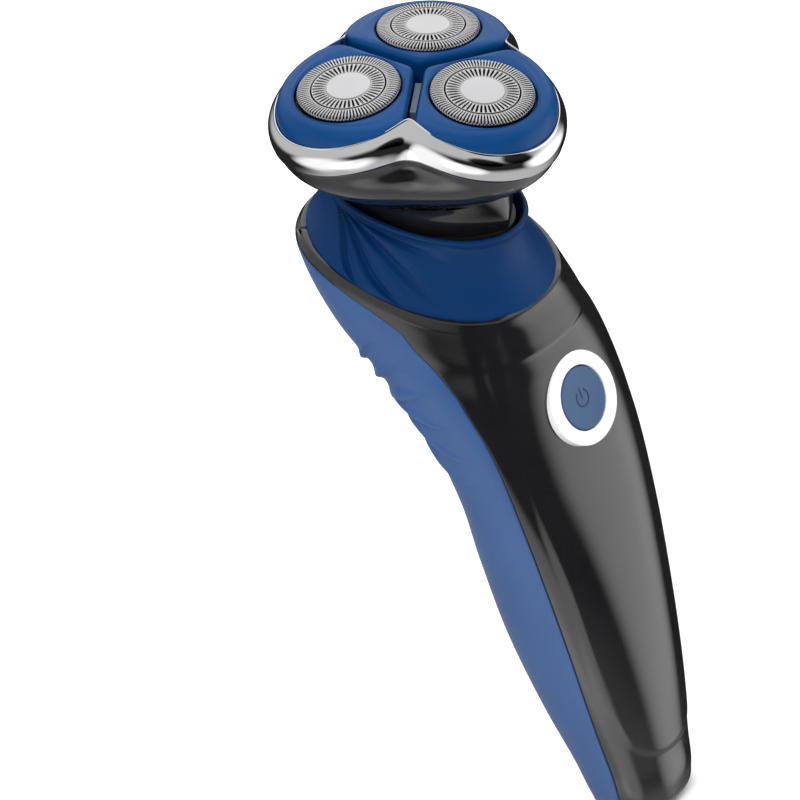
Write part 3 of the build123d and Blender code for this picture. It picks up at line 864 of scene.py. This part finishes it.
@dataclass
class NeckBoot:
    """Pleated rubber boot between handle and head."""

    # height, centre y, half width, half depth, lean
    rings: tuple = ((-41.9, -1.0, 20.75, 26.85, 8.2), (-41.3, -0.9, 20.5, 26.6, 8.0),
                    (-39.6, -0.6, 18.9, 25.3, 7.4), (-36.4, -0.1, 16.6, 23.4, 6.0),
                    (-33.0, 0.15, 14.9, 22.4, 4.9), (-30.9, 0.3, 14.2, 22.2, 4.0),
                    (-29.9, 0.45, 14.7, 22.8, 3.4), (-29.3, 0.5, 15.1, 23.2, 3.0))
    exponent: float = 2.1
    wall: float = 1.2
    fan_angle: float = 128.0
    pleats: tuple = (3.0, 10.0, 18.0, 28.0, 40.0)
    pleat_bend: float = 30.0
    pleat_depth: float = 0.6

    def ring(self, level: np.ndarray, angle: np.ndarray, inset: np.ndarray) -> np.ndarray:
        """Oval rings read on a smooth curve, shrunk by an inset.

        Args:
            level: Ring numbers.
            angle: Angles from the front.
            inset: Inward distance.

        Returns:
            Points about the head axis.
        """
        table = np.array(self.rings)
        row = curve_through(np.arange(len(table), dtype=float), table, level)
        height, centre, wide, deep, lean = np.moveaxis(row, -1, 0)
        lean = np.radians(lean)
        power = 2 / self.exponent
        x = (wide - inset) * signed_power(np.sin(angle), power)
        y = -(deep - inset) * signed_power(np.cos(angle), power)
        return np.stack([x, centre + y * np.cos(lean), height + y * np.sin(lean)], axis=-1)

    def fold(self, level: np.ndarray, angle: np.ndarray) -> np.ndarray:
        """Pleats: narrow valleys and soft crests along rays that fan from a point under the rim.

        Args:
            level: Ring numbers.
            angle: Angles from the front.

        Returns:
            Outward displacement in millimetres.
        """
        side = np.degrees(np.abs(np.where(angle > math.pi, angle - 2 * math.pi, angle)))
        along = (self.fan_angle - side) * 0.36
        down = (len(self.rings) - 1.4 - level) * 1.9
        reach = np.hypot(along, down)
        ray = np.degrees(np.arctan2(down, along)) - self.pleat_bend * np.exp(-reach / 8.0)
        fade = smooth_step(reach, 0.5, 4.0) * (1 - smooth_step(reach, 18.0, 32.0))
        rise = np.zeros(level.shape)
        for pleat in self.pleats:
            gap = ray - pleat
            valley = np.exp(-(gap / 1.3) ** 2)
            crest = np.where(gap > 0, np.exp(-((gap - 3.4) / 3.0) ** 2), 0.0)
            rise = rise + self.pleat_depth * (crest - 1.1 * valley)
        return rise * fade * smooth_step(level, 0.3, 1.6)

    def build(self) -> None:
        """Makes the boot with a thin lower lip, a rolled rim and an inner wall."""
        top = len(self.rings) - 1
        angle = np.linspace(0, 2 * math.pi, 360, endpoint=False)[None, :]
        level = np.concatenate([np.linspace(0, 1.2, 16)[:-1], np.linspace(1.2, top, 110)])[:, None]
        level = level + 0 * angle
        outside = self.ring(level, angle, 0 * level)
        folds = self.fold(level, angle)
        outside = outside + surface_normals(outside, wrap=True) * folds[..., None]
        turn = np.radians(np.linspace(18, 180, 9))[:, None]
        half = self.wall / 2
        rim = self.ring(top + 0 * turn + 0 * angle, angle, half - half * np.cos(turn) + 0 * angle)
        rim[..., 2] += half * np.sin(turn)
        inner = np.linspace(top, 1.0, 24)[:, None] + 0 * angle
        inside = self.ring(inner, angle, self.wall + 0 * inner)
        tuck = self.wall * np.array([[1.0], [0.9], [0.25]]) + 0 * angle
        lip = self.ring(0 * tuck, angle, tuck)
        lip[..., 2] -= np.array([[-0.3], [0.1], [0.15]])
        points = np.concatenate([lip, outside, rim, inside], axis=0)
        piece = grid_piece("neck_bellows", HEAD.seat(points), wrap=True)
        low, high = HEAD.seat(np.array([[0, 0, -40.5], [0, 0, -31.0]]))
        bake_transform(piece)
        dress(piece, BLUE_BOOT, "neck_boot")


# ------------------------------------------------------------------ shaving head
@dataclass
class LobedRing:
    """Three-lobed closed curve about the head axis, with softened hollows at the junctions."""

    centre: float
    radius: float
    at_lobe: float
    at_junction: float
    power: float = 1.5
    soften: float = 9.0
    ease: float = 0.15

    def read(self, angle: np.ndarray) -> tuple[np.ndarray, np.ndarray]:
        """Radius and height round the axis: r is c cos(p) plus the root of R squared less (c sin p) squared.

        Args:
            angle: Angles about the head axis, in radians.

        Returns:
            Radii and heights.
        """
        turn = np.degrees(angle) - Lobe.FRONT.value
        off = np.abs((turn + 60.0) % 120.0 - 60.0)
        left = 60.0 - off
        soft = (np.sqrt(left ** 2 + self.soften ** 2) - self.soften)
        soft = soft * 60.0 / (math.hypot(60.0, self.soften) - self.soften)
        p = np.radians(60.0 - soft)
        radius = self.centre * np.cos(p) + np.sqrt(self.radius ** 2 - (self.centre * np.sin(p)) ** 2)
        share = np.hypot(1.0 - soft / 60.0, self.ease) ** self.power
        rise = (share - self.ease ** self.power) / (math.hypot(1.0, self.ease) ** self.power
                                                    - self.ease ** self.power)
        return radius, self.at_lobe + (self.at_junction - self.at_lobe) * rise


@dataclass
class HeadBody:
    """Chrome band, gloss cup and the boat-shaped foot below it."""

    top: LobedRing = field(default_factory=lambda: LobedRing(13.16, 16.78, -6.84, 0.1, 1.5, 3.5))
    low: LobedRing = field(default_factory=lambda: LobedRing(11.2, 19.3, -12.3, -7.0, 1.5, 10.0))
    count: int = 480
    bulge: float = 0.95
    lip: float = 0.22

    def around(self) -> np.ndarray:
        """Angles of the columns about the head axis."""
        return np.linspace(0, 2 * math.pi, self.count, endpoint=False)

    def ring_points(self, radius: np.ndarray, height: np.ndarray) -> np.ndarray:
        """Points from radius and height rows.

        Args:
            radius: Radii, rows by columns.
            height: Heights, rows by columns.

        Returns:
            Grid of points in the CAD frame.
        """
        angle = self.around()
        return HEAD.seat(np.stack([radius * np.cos(angle), radius * np.sin(angle), height], -1))

    def band(self) -> bpy.types.Object:
        """Chrome band: a bulged ribbon between its two edges, with a rolled top lip and an inner wall."""
        angle = self.around()
        r1, z1 = self.top.read(angle)
        r0, z0 = self.low.read(angle)
        t = np.linspace(0, 1, 26)[:, None]
        swell = self.bulge * np.sin(math.pi * t)
        radius = r0 + (r1 - r0) * t + swell
        height = z0 + (z1 - z0) * t + 0.35 * swell
        lip = np.radians(np.linspace(20, 180, 7))[:, None]
        r_lip = r1 - self.lip + self.lip * np.cos(lip)
        z_lip = z1 + self.lip * np.sin(lip)
        wall_r = np.stack([r1 - 0.46, r1 - 0.6])
        wall_z = np.stack([z1 - 1.0, z1 - 2.6])
        under_r, under_z = (r0 - 1.1)[None], (z0 - 0.05)[None]
        points = self.ring_points(np.concatenate([under_r, radius, r_lip, wall_r]),
                                  np.concatenate([under_z, height, z_lip, wall_z]))
        return settle(grid_piece("chrome_trim", points, wrap=True), "cutter_frame", CHROME,
                      "chrome_band")

    def cup(self) -> bpy.types.Object:
        """Gloss cup: from under the band down to the throat, scooped below each junction."""
        angle = self.around()
        r0, z0 = self.low.read(angle)
        mid = LobedRing(9.0, 18.6, -16.6, -15.8, 1.5, 14.0).read(angle)
        low = LobedRing(5.0, 15.8, -21.6, -21.2, 1.5, 18.0).read(angle)
        end = LobedRing(3.0, 12.9, -23.9, -23.9, 1.5, 24.0).read(angle)
        rows = np.stack([np.stack([r0 - 0.25, z0 - 0.12]), np.stack(mid), np.stack(low), np.stack(end)])
        knots = np.array([0.0, 1.0, 2.0, 2.6])
        t = np.linspace(0, 2.6, 44)
        path = self.carry(knots, rows, t)
        radius, height = path[:, 0], path[:, 1]
        off = np.abs((np.degrees(angle) - Lobe.FRONT.value) % 120.0 - 60.0)
        arch = np.exp(-(off / 15.0) ** 2)
        scoop = 1.1 * arch * np.exp(-((t[:, None] - 0.28) / 0.22) ** 2)
        radius = radius - scoop
        top_r, top_z = (r0 - 1.3)[None], (z0 - 0.12)[None]
        radius = np.concatenate([top_r, radius])[::-1]
        height = np.concatenate([top_z, height])[::-1]
        floor = np.array([0.05, 6.0])[:, None] + 0 * angle
        radius = np.concatenate([floor, radius])
        height = np.concatenate([np.full(floor.shape, -23.9), height])
        points = self.ring_points(radius, height)
        return settle(grid_piece("head_shell", points, wrap=True, weld=0.05), "head", BLACK_GLOSS,
                      "head_cup")

    def carry(self, knots: np.ndarray, rows: np.ndarray, at: np.ndarray) -> np.ndarray:
        """Reads whole rings on a smooth curve.

        Args:
            knots: Ring numbers.
            rows: Rings of radius and height.
            at: Where to read.

        Returns:
            One ring per reading.
        """
        flat = rows.reshape(len(rows), -1)
        return curve_through(knots, flat, at).reshape(len(at), *rows.shape[1:])

    def foot(self) -> bpy.types.Object:
        """Boat-shaped foot: ovals drawn in to a prow, x narrowed as the sine to a rising power."""
        angle = np.linspace(0, 2 * math.pi, 240, endpoint=False)[None, :]
        # height, half width, half depth, centre y, prow
        table = np.array([(-23.0, 15.5, 18.6, 0.0, 0.0), (-24.6, 14.4, 19.4, 0.0, 0.15),
                          (-27.5, 13.3, 20.4, 0.0, 0.35), (-31.0, 12.6, 20.2, 0.0, 0.5),
                          (-34.2, 11.4, 18.8, 0.0, 0.6), (-35.6, 9.8, 16.6, 0.0, 0.6)])
        knots = np.arange(len(table), dtype=float)
        row = curve_through(knots, table, np.linspace(0, knots[-1], 40))
        height, wide, deep, centre, prow = row.T[:, :, None]
        ahead = np.maximum(np.cos(angle), 0.0)
        x = wide * np.sign(np.sin(angle)) * np.abs(np.sin(angle)) ** (1 + prow * ahead)
        y = centre - deep * np.cos(angle)
        points = np.stack([x, y, height + 0 * angle], -1)[::-1]
        close = points[:1] * np.array([0.02, 0.02, 1.0])
        points = np.concatenate([close, points], axis=0)
        return settle(grid_piece("neck_plug", HEAD.seat(points), wrap=True, weld=0.05), "head",
                      BLACK_GLOSS, "coupling_foot")

    def build(self) -> None:
        """Makes the band, the cup and the foot."""
        self.band()
        self.cup()
        self.foot()


@dataclass
class ShavingPod:
    """One blue pod with its slotted steel comb."""

    lobe: Lobe
    ring: float = 15.2
    tilt: float = 6.4
    hole: float = 10.62
    disc_centre: float = 13.16
    disc_radius: float = 16.25
    half_gap: float = 0.95
    top: float = -0.75
    comb: float = 10.25
    outer_slots: int = 92
    inner_slots: int = 46

    def seat(self, points: np.ndarray, tilted: bool = True) -> np.ndarray:
        """Carries points from the comb's frame to the CAD frame.

        Args:
            points: Points about the comb's middle, +X away from the head axis.
            tilted: Whether the points lean with the comb.

        Returns:
            Points in the CAD frame.
        """
        lean = math.radians(self.tilt if tilted else 0.0)
        x, y, z = np.moveaxis(points, -1, 0)
        x, z = x * math.cos(lean) + z * math.sin(lean) + self.ring, -x * math.sin(lean) + z * math.cos(lean)
        turn = math.radians(self.lobe.value)
        return HEAD.seat(np.stack([x * math.cos(turn) - y * math.sin(turn),
                                   x * math.sin(turn) + y * math.cos(turn), z], -1))

    def reach(self, angle: np.ndarray) -> tuple[np.ndarray, np.ndarray]:
        """Distance from the comb's axis to the pod's edge, a soft least of the arc and two gap lines.

        Args:
            angle: Directions about the comb's axis.

        Returns:
            Distances, and the share of the edge that belongs to the outer arc.
        """
        shift = self.ring - self.disc_centre
        arc = -shift * np.cos(angle) + np.sqrt(self.disc_radius ** 2 - (shift * np.sin(angle)) ** 2)
        line = math.sin(math.radians(60)) * self.ring - self.half_gap
        reach = arc ** -26.0
        for side in (-1, 1):
            facing = np.cos(angle - side * math.radians(150))
            reach = reach + np.where(facing > 0.05, line / np.maximum(facing, 0.05), 1e3) ** -26.0
        reach = reach ** (-1 / 26.0)
        outer = smooth_step(reach / arc, 0.90, 0.985)
        return reach, outer

    def rim_height(self, angle: np.ndarray, reach: np.ndarray) -> np.ndarray:
        """Height of the chrome's top edge beside a point of the pod's edge.

        Args:
            angle: Directions about the comb's axis.
            reach: Distances to the pod's edge.

        Returns:
            Heights about the head axis.
        """
        x = self.ring + reach * np.cos(angle)
        y = reach * np.sin(angle)
        about = np.arctan2(y, x) + math.radians(Lobe.FRONT.value)
        return HeadBody().top.read(about)[1]

    def level(self, radius: np.ndarray, angle: np.ndarray) -> np.ndarray:
        """Height of the tilted top: the radius times the cosine times the slope, taken from the middle.

        Args:
            radius: Distances from the comb's axis.
            angle: Directions about the comb's axis.

        Returns:
            Heights about the head axis.
        """
        return self.top - radius * np.cos(angle) * math.tan(math.radians(self.tilt))

    def shell(self) -> bpy.types.Object:
        """Pod: a hole lip, a tilted top, a rounded shoulder down to the chrome, and a side wall."""
        angle = np.linspace(0, 2 * math.pi, 320, endpoint=False)
        reach, outer = self.reach(angle)
        edge = self.rim_height(angle, reach)
        wide = 1.3 + 2.1 * outer * smooth_step(np.cos(angle), -0.75, 0.6)
        wide = np.minimum(wide, reach - self.hole - 0.45)
        foot = np.where(outer > 0.02, np.minimum(edge - 0.1, self.level(reach - wide, angle) - 1.0), -50.0)
        foot = outer * foot + (1 - outer) * (self.level(reach - wide, angle) - 1.5)
        turn = np.radians(np.linspace(90, 0, 13))[:, None]
        shoulder_r = reach - wide + wide * np.cos(turn)
        shoulder_z = foot + (self.level(reach - wide, angle) - foot) * np.sin(turn) ** 0.9
        flat = np.linspace(0, 1, 9)[1:-1, None]
        inner = self.hole + 0.35
        flat_r = inner + (reach - wide - inner) * flat
        flat_z = self.level(flat_r, angle) + 0.12 * np.sin(math.pi * flat)
        lip = np.radians(np.linspace(0, 90, 6))[:, None]
        lip_r = inner - 0.35 * np.cos(lip) + 0 * angle
        lip_z = self.level(lip_r, angle) - 0.35 + 0.35 * np.sin(lip)
        bore_r = self.hole + 0 * angle
        bore_z = self.level(bore_r, angle) - 2.6
        wall_r = np.stack([reach - 0.02, reach - 0.08])
        wall_z = np.stack([foot - 0.5, np.minimum(foot - 1.5, -8.6)])
        radius = np.concatenate([wall_r[::-1], shoulder_r[::-1], flat_r[::-1], lip_r[::-1], bore_r[None]])
        height = np.concatenate([wall_z[::-1], shoulder_z[::-1], flat_z[::-1], lip_z[::-1], bore_z[None]])
        points = np.stack([radius * np.cos(angle), radius * np.sin(angle), height], -1)
        name = self.lobe.name.lower()
        return settle(grid_piece(f"pod_cover_{name}", self.seat(points, tilted=False), wrap=True),
                      f"pod_{name}", BLUE_SATIN, f"pod_{name}")

    def track(self, name: str, radii: np.ndarray, heights: np.ndarray, depth: np.ndarray,
              slots: int, cut: np.ndarray) -> bpy.types.Object:
        """Turned steel skin with radial slots left open, then thickened.

        Args:
            name: Piece name.
            radii: Radius of each row.
            heights: Height of each row.
            depth: Painted shade of each row, from 0 for none to 1 for the darkest.
            slots: Number of slots.
            cut: Whether the strip above each row is slotted.

        Returns:
            The object.
        """
        pitch = 2 * math.pi / slots
        offsets = np.array([0.0, 0.25, 0.50, 0.75]) * pitch
        angle = (np.arange(slots)[:, None] * pitch + offsets).ravel()
        points = np.stack([radii[:, None] * np.cos(angle), radii[:, None] * np.sin(angle),
                           heights[:, None] + 0 * angle], -1)
        faces = grid_faces(len(radii), len(angle), True)
        row = np.arange(len(faces)) // len(angle)
        column = np.arange(len(faces)) % len(angle)
        faces = faces[~(cut[row] & (column % 4 >= 2))]
        piece = make_piece(name, self.seat(points), faces)
        # Painted shade, one value per row, for the finish to darken the colour with.
        mark(piece, "depth", np.repeat(depth, len(angle)))
        weld_points(piece, 0.004)
        solid = piece.modifiers.new("wall", "SOLIDIFY")
        solid.thickness = 0.3 * MM
        solid.offset = -1.0
        return piece

    def comb_piece(self) -> bpy.types.Object:
        """Comb: rim, outer slotted track, groove with painted shade, inner slotted track and a plain disc.
        """
        r = self.comb
        # rows: radius, height, painted shade, slotted; the shade darkens the rim's side, the groove and the
        # ring round the disc
        rows = [(r, -1.9, 0.9, 0), (r, -0.9, 0.6, 0), (r - 0.02, -0.55, 0.1, 1), (r - 0.15, -0.22, 0, 1),
                (r - 0.45, -0.04, 0, 1), (9.3, 0.02, 0, 1), (8.6, 0.03, 0, 1), (7.72, 0.0, 0, 0),
                (7.56, -0.03, 0.3, 0), (7.5, -0.26, 1, 0), (7.28, -0.26, 1, 0), (7.22, -0.03, 0.3, 0),
                (7.08, 0.0, 0, 1), (6.2, 0.02, 0, 1), (5.3, 0.02, 0, 1), (4.62, 0.0, 0, 0),
                (4.5, -0.04, 0.5, 0), (4.42, -0.02, 0.4, 0), (4.3, 0.1, 0, 0), (4.1, 0.15, 0, 0),
                (2.8, 0.17, 0, 0), (1.4, 0.18, 0, 0), (0.0, 0.18, 0, 0)]
        table = np.array(rows)
        name = self.lobe.name.lower()
        split = 10
        outer = self.track(f"comb_outer_{name}", table[:split + 1, 0], table[:split + 1, 1],
                           table[:split + 1, 2], self.outer_slots, table[:split, 3] > 0.5)
        settle(outer, f"pod_{name}", FOIL_STEEL, f"comb_{name}")
        inner = self.track(f"comb_inner_{name}", table[split:, 0], table[split:, 1],
                           table[split:, 2], self.inner_slots, table[split:-1, 3] > 0.5)
        return settle(inner, f"pod_{name}", FOIL_STEEL)

    def seal(self) -> bpy.types.Object:
        """Dark ring that fills the gap round the comb, and a dark disc of painted shade under the comb's
        slots.
        """
        profile = np.array([(self.comb - 0.5, -2.3), (self.hole - 0.02, -2.3), (self.hole - 0.02, -1.75),
                            (self.hole - 0.14, -1.6), (self.comb + 0.1, -1.6), (self.comb + 0.04, -1.75)])
        name = self.lobe.name.lower()
        # Painted shade: a dark disc just under the comb makes its slots read dark, in place of the shaded
        # cutters behind.
        shade_disc = np.array([(self.comb - 0.5, -2.3), (self.comb - 0.62, -0.62), (0.0, -0.55)])
        shade_disc = grid_piece(f"comb_shade_disc_{name}", self.seat(lathe(shade_disc, 96)), wrap=True, weld=0.004)
        settle(shade_disc, f"pod_{name}", FERRITE)
        points = lathe(np.concatenate([profile, profile[:1]]), 144)
        return settle(grid_piece(f"comb_seal_{name}", self.seat(points), wrap=True), f"pod_{name}",
                      BLACK_SATIN)

    def build(self) -> None:
        """Makes the pod, its comb and the ring round it."""
        self.shell()
        self.comb_piece()
        self.seal()


# ------------------------------------------------------------------ inner parts
@dataclass
class InnerParts:
    """CAD parts that stay as they are, each with its finish."""

    wear: dict = field(default_factory=lambda: {
        BLACK_SATIN: ("rear_shell", "chassis", "button_seal", "charging_socket", "neck_socket",
                      "socket_seal", "comb_holder_front", "comb_holder_right", "comb_holder_left",
                      "motor_end_cap", "gear_cover"),
        GREY_PLASTIC: ("pod_carrier", "board_parts"),
        STEEL: ("board_screws", "battery_tabs", "motor_can", "motor_screws", "motor_shaft",
                "cutter_blades_front", "cutter_blades_right", "cutter_blades_left"),
        BRASS: ("socket_contacts", "motor_terminals"),
        NYLON: ("neck_yoke", "drive_dog", "sun_gear", "drive_gear_front", "drive_gear_right",
                "drive_gear_left", "cutter_hub_front", "cutter_hub_right", "cutter_hub_left",
                "tact_switch"),
        BOARD: ("circuit_board",),
        CELL_WRAP: ("battery_cell",),
        FERRITE: ("motor_magnets",),
        COPPER: ("motor_armature",),
        CLEAR_LENS: ("charge_light",),
    })

    def build(self) -> None:
        """Dresses each carried-over node."""
        for finish, names in self.wear.items():
            for name in names:
                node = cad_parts[name]
                material = finish.material()
                if not node.material_slots:
                    node.data.materials.append(material)
                for place in node.material_slots:
                    place.material = material
                LOG.info("%s dressed as %s", name, finish.slot)


# ------------------------------------------------------------------ studio
@dataclass
class Studio:
    """Pale floor, soft lights, sky with soft boxes and the camera."""

    # direction, cosine where the box starts, cosine where it is full, strength
    boxes: tuple = (((0.62, -0.69, -0.37), 0.80, 0.97, 1.5), ((-0.90, 0.34, -0.30), 0.76, 0.97, 1.1),
                    ((0.62, 0.30, 0.72), 0.60, 0.92, 0.65), ((0.0, 0.0, 1.0), -0.05, 0.35, 0.55),
                    ((-0.75, -0.16, -0.60), 0.90, 0.985, 0.95), ((0.0, 0.0, -1.0), 0.55, 0.90, 0.5))
    # direction, cosine where the dark card starts, cosine where it is full
    cards: tuple = (((-0.50, -0.86, 0.05), 0.93, 0.97), ((0.15, -0.98, 0.15), 0.95, 0.98))
    ambient: float = 0.02

    def sky(self) -> None:
        """World: a dim grey with soft boxes, each a smooth step on the cosine to its direction."""
        world = bpy.data.worlds.new("studio")
        bpy.context.scene.world = world
        world.use_nodes = True
        nodes, links = world.node_tree.nodes, world.node_tree.links
        where = nodes.new("ShaderNodeTexCoord")
        total = None
        for direction, low, high, strength in self.boxes:
            dot = nodes.new("ShaderNodeVectorMath")
            dot.operation = "DOT_PRODUCT"
            dot.inputs[1].default_value = Vector(direction).normalized()
            links.new(where.outputs["Generated"], dot.inputs[0])
            step = nodes.new("ShaderNodeMapRange")
            step.interpolation_type = "SMOOTHSTEP"
            step.inputs["From Min"].default_value = low
            step.inputs["From Max"].default_value = high
            step.inputs["To Max"].default_value = strength
            links.new(dot.outputs["Value"], step.inputs["Value"])
            add = nodes.new("ShaderNodeMath")
            add.operation = "ADD"
            add.inputs[1].default_value = self.ambient
            links.new(step.outputs["Result"], add.inputs[0])
            if total is not None:
                links.new(total.outputs["Value"], add.inputs[1])
            total = add
        for direction, low, high in self.cards:
            dot = nodes.new("ShaderNodeVectorMath")
            dot.operation = "DOT_PRODUCT"
            dot.inputs[1].default_value = Vector(direction).normalized()
            links.new(where.outputs["Generated"], dot.inputs[0])
            step = nodes.new("ShaderNodeMapRange")
            step.interpolation_type = "SMOOTHSTEP"
            step.inputs["From Min"].default_value = low
            step.inputs["From Max"].default_value = high
            step.inputs["To Min"].default_value = 1.0
            step.inputs["To Max"].default_value = 0.04
            links.new(dot.outputs["Value"], step.inputs["Value"])
            product = nodes.new("ShaderNodeMath")
            product.operation = "MULTIPLY"
            links.new(step.outputs["Result"], product.inputs[0])
            links.new(total.outputs["Value"], product.inputs[1])
            total = product
        links.new(total.outputs["Value"], nodes["Background"].inputs["Strength"])
        nodes["Background"].inputs["Color"].default_value = (1.0, 1.0, 1.0, 1.0)

    def lamp(self, name: str, at: tuple, size: float, power: float) -> None:
        """Soft square lamp aimed at the middle of the shaver.

        Args:
            name: Lamp name.
            at: Place in metres.
            size: Side in metres.
            power: Power in watts.
        """
        data = bpy.data.lights.new(name, "AREA")
        data.size, data.energy = size, power
        lamp = bpy.data.objects.new(name, data)
        lamp.location = at
        aim = Vector((0.0, 0.0, 0.1)) - Vector(at)
        lamp.rotation_euler = aim.to_track_quat("-Z", "Y").to_euler()
        lamp.visible_glossy = False
        bpy.context.scene.collection.objects.link(lamp)

    def floor(self) -> None:
        """Pale floor with a faint drift of tone, left out of mirror-like reflections."""
        mesh = bpy.data.meshes.new("floor")
        side = 6.0
        mesh.from_pydata([(-side, -side, -0.0006), (side, -side, -0.0006), (side, side, -0.0006),
                          (-side, side, -0.0006)], [], [(0, 1, 2, 3)])
        floor = bpy.data.objects.new("floor", mesh)
        bpy.context.scene.collection.objects.link(floor)
        pale = Finish("studio_floor", (0.93, 0.93, 0.93), (0.95, 0.95, 0.95), 0.8, 0.02, specular=0.1)
        mesh.materials.append(pale.material())
        floor.visible_glossy = False

    def camera(self) -> None:
        """Long lens in front of the left side, looking down on the head."""
        data = bpy.data.cameras.new("camera")
        data.lens, data.sensor_width = 218.98, 36.0
        data.clip_start, data.clip_end = 0.05, 20.0
        camera = bpy.data.objects.new("camera", data)
        bpy.context.scene.collection.objects.link(camera)
        right, up, back = (0.5949, -0.7568, -0.2706), (0.5049, 0.0900, 0.8584), (-0.6254, -0.6473, 0.4358)
        place = (-0.62922, -0.61796, 0.53113)
        rows = [(right[i], up[i], back[i], place[i]) for i in range(3)] + [(0, 0, 0, 1)]
        camera.matrix_world = Matrix(rows)
        bpy.context.scene.camera = camera

    def build(self) -> None:
        """Sets the whole studio."""
        bpy.context.scene.view_settings.view_transform = "Standard"
        self.sky()
        self.lamp("key", (-0.7, -0.5, 1.1), 0.7, 12.0)
        self.lamp("fill", (0.9, -0.7, 0.7), 0.8, 9.0)
        self.lamp("back", (0.1, 1.0, 0.9), 0.8, 9.0)
        self.floor()
        self.camera()


def main() -> None:
    """Builds every sub-assembly in order."""
    logging.basicConfig(level=logging.INFO, format="%(message)s")
    Shells().build()
    ButtonSet().build()
    NeckBoot().build()
    HeadBody().build()
    for lobe in Lobe:
        ShavingPod(lobe).build()
    InnerParts().build()
    Studio().build()
    bpy.context.view_layer.update()


if __name__ == "__main__":
    main()
